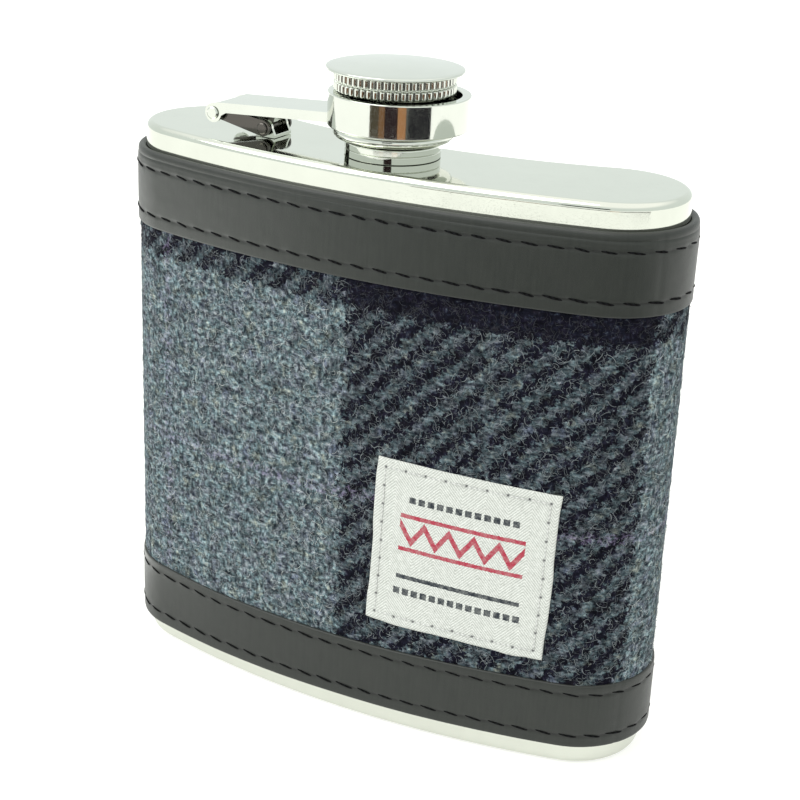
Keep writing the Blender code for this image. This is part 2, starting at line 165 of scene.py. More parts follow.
def smooth(value, low, high):
    """0 below low, 1 above high, smooth between."""
    t = np.clip((np.asarray(value, float) - low) / (high - low), 0, 1)
    return t * t * (3 - 2 * t)


def value_noise(u, v, seed, wrap=None):
    """Smooth random field from -1 to 1 with unit cells; wrap is the number of cells round u."""
    rng = np.random.default_rng(seed)
    table = rng.uniform(-1, 1, (512, 512))
    u, v = np.broadcast_arrays(np.asarray(u, float), np.asarray(v, float))
    i, j = np.floor(u).astype(int), np.floor(v).astype(int)
    fu, fv = u - i, v - j
    fu, fv = fu * fu * (3 - 2 * fu), fv * fv * (3 - 2 * fv)
    period = wrap or 512
    i0, i1 = i % period % 512, (i + 1) % period % 512
    j0, j1 = j % 512, (j + 1) % 512
    low = table[i0, j0] * (1 - fu) + table[i1, j0] * fu
    high = table[i0, j1] * (1 - fu) + table[i1, j1] * fu
    return low * (1 - fv) + high * fv


# ---- mesh helpers
def mesh_object(name, points, faces, look):
    mesh = bpy.data.meshes.new(name)
    mesh.from_pydata(points, [], faces)
    mesh.materials.append(look)
    mesh.shade_smooth()
    obj = bpy.data.objects.new(name, mesh)
    bpy.context.scene.collection.objects.link(obj)
    return obj


def grid_faces(rows, columns, wrap_rows=False, wrap_columns=False):
    """Quads of a rows by columns grid, facing out when rows run anticlockwise and columns up."""
    i = np.arange(rows if wrap_rows else rows - 1)[:, None]
    j = np.arange(columns if wrap_columns else columns - 1)[None, :]
    a = i * columns + j
    b = (i + 1) % rows * columns + j
    c = (i + 1) % rows * columns + (j + 1) % columns
    d = i * columns + (j + 1) % columns
    return np.stack([a, b, c, d], -1).reshape(-1, 4)


def write_values(obj, name, values):
    """A named value for each point of the mesh."""
    data = obj.data.attributes.new(name, "FLOAT", "POINT")
    data.data.foreach_set("value", values.reshape(-1).astype(np.float32))


def grid_object(name, points, look, wrap_rows=False, wrap_columns=False, flat=None,
                masks=None):
    """A mesh over points[row, column]; flat[row, column] is its (u, v) place in metres."""
    rows, columns = points.shape[:2]
    faces = grid_faces(rows, columns, wrap_rows, wrap_columns)
    obj = mesh_object(name, points.reshape(-1, 3).tolist(), faces.tolist(), look)
    if flat is not None:
        layer = obj.data.uv_layers.new(name="flat")
        corners = [flat[:-1, :-1], flat[1:, :-1], flat[1:, 1:], flat[:-1, 1:]]
        layer.data.foreach_set("uv", np.stack(corners, 2).reshape(-1).astype(np.float32))
    for mask_name, values in (masks or {}).items():
        write_values(obj, mask_name, values)
    return obj


def filleted(corners, steps=5):
    """Profile through (radius, z, fillet) corners, each rounded where fillet isn't 0.

    A point just outside each fillet keeps the flat beside it flat in the shading.
    """
    out = []
    count = len(corners)
    for index, (r, z, fillet) in enumerate(corners):
        here = Vector((r, z))
        if not fillet or index in (0, count - 1):
            out.append((r, z))
            continue
        before = (Vector(corners[index - 1][:2]) - here).normalized() * fillet
        after = (Vector(corners[index + 1][:2]) - here).normalized() * fillet
        out.append(tuple(here + before * SUPPORT))
        for step in range(steps + 1):
            t = step / steps
            out.append(tuple(here + before * (1 - t) ** 2 + after * t ** 2))
        out.append(tuple(here + after * SUPPORT))
    return out


def turned(name, profile, look, steps=144, centre=(0, NECK_Y), relief=None, closed=False,
           groove_shade=None):
    """A turned piece whose profile runs up the outside.

    relief(angle, radius, z) adds to the radius, and the shade function (angle, radius, z) gives
    painted shade that darkens the steel's colour.
    """
    r, z = np.array(profile).T[:, None]
    angle = 2 * math.pi * np.arange(steps)[:, None] / steps
    reach = r + (relief(angle, r, z) if relief else 0)
    x = centre[0] + reach * np.cos(angle)
    y = centre[1] + reach * np.sin(angle)
    points = np.stack([x, y, np.broadcast_to(z, x.shape)], -1)
    masks = {"groove_shade": np.broadcast_to(groove_shade(angle, r, z), x.shape)} if groove_shade else None
    obj = grid_object(name, points, look, wrap_rows=True, wrap_columns=closed, masks=masks)
    return welded(obj)


def welded(obj):
    """obj with its coincident points merged, as at the pole of a turned piece."""
    bm = bmesh.new()
    bm.from_mesh(obj.data)
    bmesh.ops.remove_doubles(bm, verts=bm.verts, dist=1e-7)
    bm.to_mesh(obj.data)
    bm.free()
    return obj


def placed(obj, body, slot_name, *nodes):
    """Attach to the ride and hide the CAD nodes that the piece stands for, all at once; slot_name
    is not used.
    """
    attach(obj, body)
    if nodes:
        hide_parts(*nodes)
    return obj


# ---- node helpers
def new_look(name):
    look = bpy.data.materials.new(name)
    look.use_nodes = True
    return look, look.node_tree, look.node_tree.nodes["Principled BSDF"]


def feed(node, inputs):
    """Link or set the inputs of a node."""
    for key, value in inputs.items():
        if isinstance(value, bpy.types.NodeSocket):
            node.id_data.links.new(value, node.inputs[key])
        else:
            node.inputs[key].default_value = value


def add(tree, kind, inputs=None, **settings):
    node = tree.nodes.new("ShaderNode" + kind)
    for key, value in settings.items():
        setattr(node, key, value)
    feed(node, inputs or {})
    return node


def fed(kind, inputs, **settings):
    """A new node in the tree that its linked inputs come from."""
    linked = [value for value in inputs.values() if isinstance(value, bpy.types.NodeSocket)]
    return add(linked[0].id_data, kind, inputs, **settings)


def calc(operation, *values, clamp=False):
    inputs = dict(enumerate(values))
    return fed("Math", inputs, operation=operation, use_clamp=clamp).outputs[0]


def mixed(factor, first, second, blend="MIX"):
    inputs = {0: factor, 6: first, 7: second}
    return fed("Mix", inputs, data_type="RGBA", blend_type=blend).outputs[2]


def mask(tree, name):
    """A named value of the mesh's points."""
    return add(tree, "Attribute", attribute_name=name).outputs["Fac"]


def wave(value):
    """A sine wave from 0 to 1."""
    return calc("MULTIPLY_ADD", calc("SINE", value), 0.5, 0.5)


def within(value, middle, half):
    """1 where value is less than half away from middle."""
    away = calc("ABSOLUTE", calc("SUBTRACT", value, middle))
    return calc("LESS_THAN", away, half)


def picked(share, first, second):
    """first where share is 1, second where it is 0."""
    rest = calc("MULTIPLY", second, calc("SUBTRACT", 1, share))
    return calc("ADD", calc("MULTIPLY", first, share), rest)


def ramp(value, *stops):
    node = fed("ValToRGB", {0: value})
    points = node.color_ramp.elements
    while len(points) < len(stops):
        points.new(0.5)
    for point, (position, colour) in zip(points, stops):
        point.position = position
        grey = isinstance(colour, (int, float))
        point.color = (colour, colour, colour, 1) if grey else (*colour, 1)
    return node.outputs[0]


def stretched(vector, scale):
    return fed("Mapping", {"Vector": vector, "Scale": scale}).outputs[0]


def noise_of(vector, scale, detail=2, roughness=0.5, output=0):
    inputs = {"Vector": vector, "Scale": scale, "Detail": detail, "Roughness": roughness}
    return fed("TexNoise", inputs).outputs[output]


def bumped(shader, height, strength, distance):
    inputs = {"Height": height, "Strength": strength, "Distance": distance}
    feed(shader, {"Normal": fed("Bump", inputs).outputs[0]})


def scaled(vector, factor):
    return fed("VectorMath", {0: vector, 3: factor}, operation="SCALE").outputs[0]


def jittered(vector, noise, reach):
    """vector moved by a colour noise, up to half of reach each way."""
    centred = fed("VectorMath", {0: noise, 1: (0.5, 0.5, 0.5)}, operation="SUBTRACT")
    shift = scaled(centred.outputs[0], reach)
    return fed("VectorMath", {0: vector, 1: shift}, operation="ADD").outputs[0]


def flat_mm(tree):
    """The piece's own flat coordinates in millimetres."""
    return scaled(add(tree, "UVMap", uv_map="flat").outputs[0], 1 / MM)


def object_mm(tree):
    return scaled(add(tree, "TexCoord").outputs["Object"], 1 / MM)


# ---- materials
def steel_look(name, tint, roughness, scratches):
    """Polished stainless steel with fine hairline scratches, faint finger marks and painted shade
    in grooves, read from the mesh.
    """
    look, tree, shader = new_look(name)
    mm = object_mm(tree)
    smudge = noise_of(mm, 0.16, 4, 0.6)
    hair = noise_of(stretched(mm, (0.35, 6, 9)), 3, 3, 0.6)
    cross = noise_of(stretched(mm, (7, 0.5, 0.8)), 3, 2, 0.6)
    marks = calc("ADD", ramp(hair, (0.6, 0), (0.72, 1)),
                 ramp(cross, (0.64, 0), (0.74, 1)), clamp=True)
    dull = calc("MULTIPLY_ADD", ramp(smudge, (0.35, 0), (0.75, 1)),
                roughness * 0.8, roughness)
    rough = calc("MULTIPLY_ADD", marks, 0.06, dull)
    darker = tuple(channel * 0.94 for channel in tint)
    colour = mixed(ramp(smudge, (0.3, 0), (0.8, 1)), (*tint, 1), (*darker, 1))
    # painted shade: the mesh's groove values darken the steel's colour and roughen it
    groove_shade = mask(tree, "groove_shade")
    feed(shader, {"Base Color": mixed(groove_shade, colour, (0.05, 0.045, 0.05, 1)),
                  "Roughness": calc("MULTIPLY_ADD", groove_shade, 0.25, rough),
                  "Metallic": 1})
    bumped(shader, calc("ADD", marks, smudge), scratches, 0.004 * MM)
    return look


def leather_look():
    """Smooth black-green calf leather: fine grain, soft sheen, slightly dry edges."""
    look, tree, shader = new_look("smooth_leather")
    mm = flat_mm(tree)
    cells = fed("TexVoronoi", {"Vector": mm, "Scale": 3.4, "Randomness": 1},
                feature="DISTANCE_TO_EDGE").outputs["Distance"]
    pores = ramp(cells, (0, 0), (0.12, 1))
    grain = noise_of(mm, 6, 4, 0.65)
    streak = noise_of(stretched(mm, (1.6, 0.16, 1)), 1, 3, 0.6)
    cloud = ramp(noise_of(mm, 0.22, 3, 0.6), (0.35, 0), (0.75, 0.5))
    tone = ramp(streak, (0.3, (0.012, 0.015, 0.012)), (0.7, (0.018, 0.021, 0.017)))
    tone = mixed(cloud, tone, (0.018, 0.02, 0.017, 1))
    worn = calc("MULTIPLY", mask(tree, "edge"), 0.5)
    tone = mixed(worn, tone, (0.04, 0.042, 0.038, 1))
    # painted shade: near black along the stitch grooves, strongest at the needle holes
    tone = mixed(mask(tree, "hole"), tone, (0.003, 0.003, 0.003, 1))
    feed(shader, {"Base Color": tone, "Specular IOR Level": 0.42,
                  "Roughness": calc("MULTIPLY_ADD", grain, 0.2, 0.32)})
    height = calc("ADD", calc("MULTIPLY", pores, 0.5), grain)
    height = calc("MULTIPLY_ADD", streak, 0.3, height)
    bumped(shader, height, 0.5, 0.03 * MM)
    return look


def yarn_cells(mm):
    """Where the twill shows its warp, and where the warp and the weft are the light yarn."""
    shake = noise_of(mm, 1.5, 3, 0.6, output=1)
    drift = noise_of(mm, 0.09, 2, 0.5, output=1)
    moved = jittered(jittered(mm, shake, 3.4), drift, 2)
    split = fed("SeparateXYZ", {0: moved})
    s, z = split.outputs[0], split.outputs[1]
    yarn, block = YARN / MM, BLOCK / MM
    column = calc("FLOOR", calc("DIVIDE", s, yarn))
    row = calc("FLOOR", calc("DIVIDE", z, yarn))
    step = calc("FLOORED_MODULO", calc("SUBTRACT", column, row), 4)
    warp_up = calc("LESS_THAN", step, 1.5)
    ragged = calc("SUBTRACT", noise_of(mm, 0.7, 3, 0.7), 0.5)
    place = calc("MULTIPLY_ADD", ragged, 7, s)
    place = calc("FLOORED_MODULO", place, 2 * block)
    warp_light = calc("GREATER_THAN", place, block)
    weft_light = calc("LESS_THAN", z, DARK_WEFT_Z / MM)
    light_share = calc("ADD", warp_light, weft_light)
    line = within(place, block / 2, 0.75)
    warp_light = calc("MAXIMUM", warp_light, line)
    return s, z, warp_up, warp_light, weft_light, light_share


def tweed_look():
    """Milled wool twill: a navy and blue-grey check with a heather of mixed fibres."""
    look, tree, shader = new_look("wool_tweed")
    mm = flat_mm(tree)
    s, z, warp_up, warp_light, weft_light, light_share = yarn_cells(mm)
    upright_fleck = noise_of(stretched(mm, (2.4, 1, 1)), 0.75, 3, 0.6)
    level_fleck = noise_of(stretched(mm, (1, 2.4, 1)), 0.75, 3, 0.6)
    fleck = picked(warp_up, upright_fleck, level_fleck)
    felt = noise_of(mm, 1.1, 4, 0.72)
    fleck = calc("ADD", calc("MULTIPLY", fleck, 0.45),
                 calc("MULTIPLY", felt, 0.55))
    light = ramp(fleck, (0.37, (0.01, 0.011, 0.018)), (0.44, (0.04, 0.05, 0.057)),
                 (0.5, (0.105, 0.128, 0.136)), (0.56, (0.225, 0.262, 0.27)),
                 (0.66, (0.46, 0.49, 0.48)))
    dark = ramp(fleck, (0.4, (0.0025, 0.0025, 0.005)), (0.52, (0.007, 0.0065, 0.012)),
                (0.58, (0.014, 0.013, 0.023)), (0.68, (0.075, 0.085, 0.1)))
    yarn_light = picked(warp_up, warp_light, weft_light)
    blur = noise_of(mm, 1.3, 4, 0.65)
    amount = calc("MULTIPLY_ADD", calc("SUBTRACT", blur, 0.5), 2.2, yarn_light)
    amount = ramp(amount, (0.35, 0), (1, 1))
    milled_in = ramp(calc("MULTIPLY", light_share, 0.5),
                     (0, 0.04), (0.5, 0.52), (1, 1))
    tone = mixed(calc("MULTIPLY", amount, milled_in), dark, light)
    patch = ramp(noise_of(mm, 0.3, 4, 0.68),
                 (0.36, 0.52), (0.5, 0.95), (0.62, 1.15))
    tone = mixed(1, tone, patch, "MULTIPLY")
    hue = noise_of(mm, 0.42, 4, 0.65)
    tint = ramp(hue, (0.34, (0.72, 0.74, 0.95)), (0.45, (1, 0.98, 1.02)),
                (0.53, (0.8, 1.00, 1.06)), (0.6, (1.1, 1.12, 1.06)),
                (0.7, (1.25, 1.16, 0.94)))
    tone = mixed(1, tone, tint, "MULTIPLY")
    lilac_yarns = calc("MAXIMUM", within(z, LILAC_ROW_Z / MM, 0.8),
                       within(s, LILAC_COLUMN / MM, 0.7))
    lilac = calc("MULTIPLY", lilac_yarns, ramp(felt, (0.48, 0), (0.62, 0.4)))
    tone = mixed(lilac, tone, (0.3, 0.25, 0.4, 1))
    feed(shader, {"Base Color": tone, "Roughness": 0.92, "Specular IOR Level": 0.04,
                  "Sheen Weight": 0.02, "Sheen Roughness": 0.5})
    bumped(shader, calc("ADD", fleck, blur), 0.7, 0.22 * MM)
    return look


def fibre_look():
    """Loose wool hairs, each with its own shade."""
    look, tree, shader = new_look("wool_fibres")
    along = calc("SUBTRACT", noise_of(object_mm(tree), 2), 0.5)
    shade = calc("MULTIPLY_ADD", along, 0.3, mask(tree, "shade"))
    tone = ramp(shade, (0, (0.004, 0.004, 0.008)), (0.35, (0.05, 0.06, 0.07)),
                (0.7, (0.24, 0.27, 0.28)), (1, (0.62, 0.65, 0.63)))
    feed(shader, {"Base Color": tone, "Roughness": 0.75, "Sheen Weight": 0.1})
    return look


def thread_look(name, dark, light):
    """Twisted sewing thread: two plies running slantwise, with a little fuzz."""
    look, tree, shader = new_look(name)
    mm = flat_mm(tree)
    split = fed("SeparateXYZ", {0: mm})
    turn = calc("ADD", calc("MULTIPLY", split.outputs[0], 9),
                calc("MULTIPLY", split.outputs[1], 2 * math.pi))
    ply = wave(turn)
    fuzz = noise_of(mm, 8, 3, 0.6)
    tone = calc("MULTIPLY", ply, calc("ADD", fuzz, 0.5))
    feed(shader, {"Base Color": ramp(tone, (0.1, dark), (0.8, light)),
                  "Roughness": 0.8, "Specular IOR Level": 0.08})
    bumped(shader, calc("ADD", ply, fuzz), 0.8, 0.03 * MM)
    return look


def bar(u, v, height, half_u, half_v):
    """1 inside a level bar at a height above the label's middle."""
    return calc("MULTIPLY", within(u, 0, half_u), within(v, height, half_v))


def label_look():
    """Ivory herringbone ribbon with a plain woven motif of bars and a zigzag.

    Places in the motif are millimetres from the label's middle.
    """
    look, tree, shader = new_look("woven_label_cloth")
    mm = flat_mm(tree)
    moved = jittered(mm, noise_of(mm, 5, 2, 0.5, output=1), 0.3)
    split = fed("SeparateXYZ", {0: moved})
    u, v = split.outputs[0], split.outputs[1]
    from_left = calc("ADD", u, 40)
    chevron = calc("PINGPONG", from_left, 3.6)
    twill = calc("ADD", calc("MULTIPLY", v, 0.9), chevron)
    ridge = wave(calc("MULTIPLY", twill, 13))
    picks = wave(calc("MULTIPLY", v, 30))
    cloud = noise_of(mm, 1.2, 4, 0.65)
    pale = calc("ADD", calc("MULTIPLY", ridge, 0.55),
                calc("MULTIPLY", cloud, 0.6))
    ivory = ramp(pale, (0.15, (0.34, 0.35, 0.32)), (0.55, (0.51, 0.525, 0.49)),
                 (0.95, (0.68, 0.69, 0.655)))
    peaks = calc("SUBTRACT", calc("PINGPONG", from_left, 2), 1)
    above = calc("SUBTRACT", v, 2.4)
    zigzag = within(above, calc("MULTIPLY", peaks, 1.5), 0.72)
    red = calc("MULTIPLY", zigzag, within(u, 0, 10))
    for height in (5.2, -0.4):
        red = calc("MAXIMUM", red, bar(u, v, height, 10, 0.34))
    spaced = calc("PINGPONG", calc("ADD", u, 42), 0.75)
    gap = calc("GREATER_THAN", spaced, 0.22)
    ink = bar(u, v, -5.2, 10, 0.36)
    for row in ((8, 9, 0.52), (-7.8, 10.5, 0.55)):
        ink = calc("MAXIMUM", ink, calc("MULTIPLY", bar(u, v, *row), gap))
    worn = ramp(cloud, (0.3, 0.7), (0.6, 1))
    tone = mixed(calc("MULTIPLY", red, worn), ivory, (0.34, 0.03, 0.055, 1))
    tone = mixed(calc("MULTIPLY", ink, worn), tone, (0.018, 0.024, 0.032, 1))
    # painted shade in the needle holes round the label
    tone = mixed(mask(tree, "hole"), tone, (0.05, 0.05, 0.055, 1))
    feed(shader, {"Base Color": tone, "Roughness": 0.85, "Specular IOR Level": 0.2,
                  "Sheen Weight": 0.15})
    weave = calc("ADD", ridge, calc("MULTIPLY", picks, 0.35))
    weave = calc("MULTIPLY_ADD", calc("MAXIMUM", red, ink), 0.5, weave)
    bumped(shader, weave, 0.6, 0.05 * MM)
    return look


def rubber_look():
    look, tree, shader = new_look("seal_rubber")
    speck = noise_of(object_mm(tree), 3, 4, 0.6)
    tone = ramp(speck, (0.3, (0.01, 0.01, 0.01)), (0.7, (0.024, 0.024, 0.023)))
    feed(shader, {"Base Color": tone,
                  "Roughness": calc("MULTIPLY_ADD", speck, 0.2, 0.5)})
    bumped(shader, speck, 0.3, 0.02 * MM)
    return look


STEEL = steel_look("polished_steel", (0.62, 0.64, 0.57), 0.035, 0.12)
TURNED_STEEL = steel_look("turned_steel", (0.63, 0.65, 0.59), 0.045, 0.15)
LEATHER = leather_look()
TWEED = tweed_look()
FIBRE = fibre_look()
BLACK_THREAD = thread_look("waxed_black_thread", (0.001, 0.001, 0.001), (0.006, 0.006, 0.007))
WHITE_THREAD = thread_look("white_thread", (0.4, 0.41, 0.39), (0.62, 0.62, 0.6))
LABEL = label_look()
# painted shade: the hinge link and its pin are coloured dark for the shade beneath the swing arm
HINGE_SHADE_STEEL = steel_look("hinge_painted_shade_steel", (0.09, 0.084, 0.076), 0.1, 0.25)
RUBBER = rubber_look()


# ---- steel body
def pressed_pan(name, flat_z, open_z, crown, hole=0):
    """Shoulder plate or base: a skirt, a rounded edge and a gently crowned plate."""
    sign = 1 if flat_z > open_z else -1
    along = girth_stations(0.9 * MM)
    edge_z = flat_z - sign * EDGE_RADIUS
    rows = [(-0.25 * MM, open_z + sign * 0.02 * MM), (-0.06 * MM, open_z),
            (0, open_z + sign * 0.06 * MM)]
    wall = np.linspace(open_z + sign * 0.5 * MM, flat_z - sign * (EDGE_RADIUS + 0.03 * MM), 5)
    rows += [(0, z) for z in (*wall, edge_z)]
    for step in range(1, 13):
        angle = math.pi / 2 * step / 12
        rows.append((-EDGE_RADIUS * (1 - math.cos(angle)),
                     flat_z - sign * EDGE_RADIUS * (1 - math.sin(angle))))
    rings = []
    for offset, z in rows:
        x, y, _, _ = around(along, offset)
        rings.append(np.stack([x, y, np.full_like(x, z)], -1))
    edge = rings[-1]
    bearing = np.arctan2(edge[:, 1] - NECK_Y, edge[:, 0])
    inner = np.stack([hole * np.cos(bearing), NECK_Y + hole * np.sin(bearing),
                      np.full_like(bearing, flat_z)], -1)
    for part in (0.004, *np.linspace(0, 1, 15)[1:]):
        ring = edge * (1 - part) + inner * part
        ring[:, 2] = flat_z + sign * crown * (1 - (1 - part) ** 2)
        rings.append(ring)
    points = np.stack(rings, 1)
    if sign < 0:
        points = points[::-1]
    return welded(grid_object(name, points, STEEL, wrap_rows=True))


def thread_ridge(angle, z, start, fade_in, fade_out, height):
    """Height of a screw thread's ridge that starts at z start and fades at both ends."""
    turns = (z - start) / PITCH - angle / (2 * math.pi)
    phase = np.abs(turns - np.round(turns)) * 2
    run = smooth(z, *fade_in) * (1 - smooth(z, *fade_out))
    return height * (1 - smooth(phase, 0.15, 0.45)) * run


def neck_thread(angle, radius, z):
    ridge = thread_ridge(angle, z, 93.65 * MM, (93.5 * MM, 93.9 * MM), (96.8 * MM, 97.1 * MM),
                         0.36 * MM)
    return np.where(radius > 5.2 * MM, ridge, 0)


def body_metal():
    collar_low, collar_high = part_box("neck_collar")
    radius = (collar_high.x - collar_low.x) / 2
    shoulder = pressed_pan("polished_shoulder", SHOULDER_Z - 0.03 * MM, UPPER_SEAM_Z,
                           0.03 * MM, 5.5 * MM)
    placed(shoulder, "flask", "polished_steel", "shoulder_plate")
    base = pressed_pan("polished_base", 0, LOWER_SEAM_Z, -0.15 * MM)
    placed(base, "flask", "polished_steel", "base_pan")

    low, high, bore = collar_low.z, collar_high.z, 5.8 * MM
    corners = ((bore, low, 0), (radius, low, 0.05 * MM), (radius, low + 1.02 * MM, 0.05 * MM),
               (radius - 0.14 * MM, low + 1.1 * MM, 0.05 * MM),
               (radius, low + 1.18 * MM, 0.05 * MM), (radius, high, 0.25 * MM), (bore, high, 0))
    collar = turned("turned_collar", filleted(corners), TURNED_STEEL)
    placed(collar, "flask", "polished_steel", "neck_collar")

    bore, outer, lip = 4.5 * MM, 5.3 * MM, 0.3 * MM
    bottom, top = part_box("neck_tube")[0].z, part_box("neck_tube")[1].z
    wall = [(outer, z) for z in np.arange(SHOULDER_Z - 0.8 * MM, top - lip, 0.09 * MM)]
    profile = [(bore, bottom), (outer, bottom)] + wall
    profile += filleted(((outer, top - lip, 0), (outer, top, lip), (bore, top, lip),
                         (bore, top - lip, 0)))
    neck = turned("threaded_neck", profile, TURNED_STEEL, relief=neck_thread, closed=True)
    placed(neck, "flask", "polished_steel", "neck_tube")


# ---- cap and captive ring
KNURL_RADIUS, KNURL_DEPTH, KNURL_TEETH = 9.25 * MM, 0.5 * MM, 54
KNURL_ROOT = KNURL_RADIUS - KNURL_DEPTH
KNURL_ROWS = (100.42 * MM, 101.94 * MM)
KNURL_ROW_HEIGHT = 1.46 * MM
CORE_BORE, CORE_RADIUS, CORE_BASE = 6.5 * MM, 7 * MM, 93.2 * MM


def tooth_places(angle, z):
    """For each row of teeth: how far across and up a tooth, 0 in the middle and 1 at the edge."""
    for index, low in enumerate(KNURL_ROWS):
        turn = angle * KNURL_TEETH / (2 * math.pi) + index / 2
        across = np.abs(turn - np.round(turn)) * 2
        yield across, np.abs(z - (low + KNURL_ROW_HEIGHT / 2)) / (KNURL_ROW_HEIGHT / 2)


def knurl(angle, radius, z):
    """Two staggered rows of pillow-shaped teeth on the grip."""
    height = np.zeros(np.broadcast(angle, z).shape)
    for across, level in tooth_places(angle, z):
        pillow = np.sqrt(np.clip(1 - (across / 0.86) ** 2, 0, 1))
        height += pillow * (1 - smooth(level, 0.72, 1.04))
    return np.where(np.abs(radius - KNURL_ROOT) < 1e-6, KNURL_DEPTH * height, 0)


def knurl_groove_shade(angle, radius, z):
    """Painted shade in the grooves between the teeth, which darkens the steel's colour there."""
    shade = np.zeros(np.broadcast(angle, z).shape)
    for across, level in tooth_places(angle, z):
        groove = smooth(across, 0.62, 0.95) * (1 - smooth(level, 0.8, 0.95))
        shade = np.maximum(shade, groove)
    return np.where(np.abs(radius - KNURL_ROOT) < 1e-6, 0.9 * shade, 0)


def core_thread(angle, radius, z):
    ridge = thread_ridge(angle, z, 94 * MM, (93.9 * MM, 94.2 * MM), (97 * MM, 97.4 * MM),
                         0.34 * MM)
    return np.where(np.abs(radius - CORE_BORE) < 1e-6, -ridge, 0)


def cap():
    head_low, head_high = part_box("cap_head")
    top, rim = head_high.z, (head_high.x - head_low.x) / 2
    rim_z = 103.6 * MM
    underside = KNURL_ROWS[0] - 0.1 * MM
    socket, socket_top = CORE_RADIUS + 0.08 * MM, 102.05 * MM
    grip = [(KNURL_ROOT, z) for z in np.linspace(underside, rim_z - 0.12 * MM, 44)]
    edge_z = rim_z + 0.42 * MM
    reach = rim * 0.955
    dome = [(reach * (1 - t), edge_z + (top - edge_z) * (1 - (1 - t) ** 2))
            for t in np.linspace(0.05, 1, 18)]
    brim = filleted(((KNURL_ROOT, rim_z - 0.12 * MM, 0),
                     (KNURL_ROOT + 0.45 * MM, rim_z - 0.08 * MM, 0.15 * MM),
                     (rim - 0.2 * MM, rim_z - 0.12 * MM, 0.08 * MM), (rim, rim_z, 0.1 * MM),
                     (rim - 0.08 * MM, rim_z + 0.32 * MM, 0.1 * MM), (reach, edge_z, 0)), 4)
    profile = [(0, socket_top), (socket, socket_top), (socket, underside)]
    profile += grip + brim[1:] + dome
    # the knurl's grooves carry painted shade
    head = turned("knurled_cap", profile, TURNED_STEEL, steps=KNURL_TEETH * 12, relief=knurl,
                  groove_shade=knurl_groove_shade)
    placed(head, "cap", "polished_steel", "cap_head")

    ceiling, core_top, lip = 99.5 * MM, 101.97 * MM, 0.2 * MM
    bore = [(CORE_BORE, z) for z in np.arange(ceiling, CORE_BASE + lip, -0.09 * MM)]
    lower_lip = [(r * MM, z * MM, fillet * MM) for r, z, fillet in (
        (9, 93.5, 0.5), (9.2, 94.2, 0.3), (9, 94.85, 0.25), (8.55, 95.05, 0.1))]
    outside = filleted(((CORE_BORE, CORE_BASE + lip, 0), (CORE_BORE + lip, CORE_BASE, 0.1 * MM),
                        (7.8 * MM, CORE_BASE, 0.3 * MM), *lower_lip,
                        (CORE_RADIUS, 95.08 * MM, 0.1 * MM), (CORE_RADIUS, core_top, lip),
                        (0, core_top, 0)))
    core = turned("threaded_core", [(0, ceiling)] + bore + outside, TURNED_STEEL,
                  relief=core_thread)
    placed(core, "cap", "polished_steel", "cap_core")


def ring():
    low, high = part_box("captive_ring")
    centre = ((low.x + high.x) / 2, NECK_Y)
    radius = (high.x - low.x) / 2
    bore, lip, shelf = 9.35 * MM, 8.35 * MM, low.z + 0.9 * MM
    corners = ((bore, shelf + 1 * MM, 0), (bore, shelf, 0.1 * MM), (lip, shelf, 0.15 * MM),
               (lip, low.z, 0.15 * MM), (radius, low.z, 0.18 * MM), (radius, high.z, 0.16 * MM),
               (bore, high.z, 0.25 * MM), (bore, shelf + 2 * MM, 0))
    obj = turned("polished_ring", filleted(corners, 6), TURNED_STEEL, centre=centre,
                 closed=True, steps=160)
    placed(obj, "arm", "polished_steel", "captive_ring")


def cad_steel():
    """CAD parts that keep their shapes: the hinge's get a broken edge."""
    # the hinge link and pin take the dark steel, painted shade for the shade under the arm
    looks = {"hinge_link": HINGE_SHADE_STEEL, "link_pin": HINGE_SHADE_STEEL, "cap_gasket": RUBBER}
    bevelled = ("swing_arm", "hinge_link", "hinge_bracket", "arm_rivet", "link_pin")
    for name in (*bevelled, "body_shell", "cap_gasket"):
        obj = frame["nodes"][name]
        obj.data.materials.clear()
        obj.data.materials.append(looks.get(name, TURNED_STEEL))
        if name in bevelled:
            edge = obj.modifiers.new("broken_edge", "BEVEL")
            edge.width = 0.1 * MM
            edge.segments = 2
            edge.limit_method = "ANGLE"
            edge.angle_limit = math.radians(40)


# ---- tweed
def tweed_height(s, z):
    """Relief of the milled twill over the flat cloth: yarn floats, felting and slubs."""
    s, z = np.broadcast_arrays(s, z)
    wander = 0.35 * MM * value_noise(s / (4 * MM), z / (4 * MM), SEED)
    s, z = s + wander, z - wander
    column, row = np.floor(s / YARN), np.floor(z / YARN)
    across, level = s / YARN - column - 0.5, z / YARN - row - 0.5
    warp_up = np.mod(column - row, 4) < 1.5
    yarn = np.where(warp_up, np.cos(math.pi * across), np.cos(math.pi * level))
    felt = value_noise(s / (0.7 * MM), z / (0.7 * MM), SEED + 1)
    slub = value_noise(s / (5 * MM), z / (7 * MM), SEED + 2)
    return MM * (0.1 * (yarn - 0.6) + 0.07 * felt + 0.05 * slub)


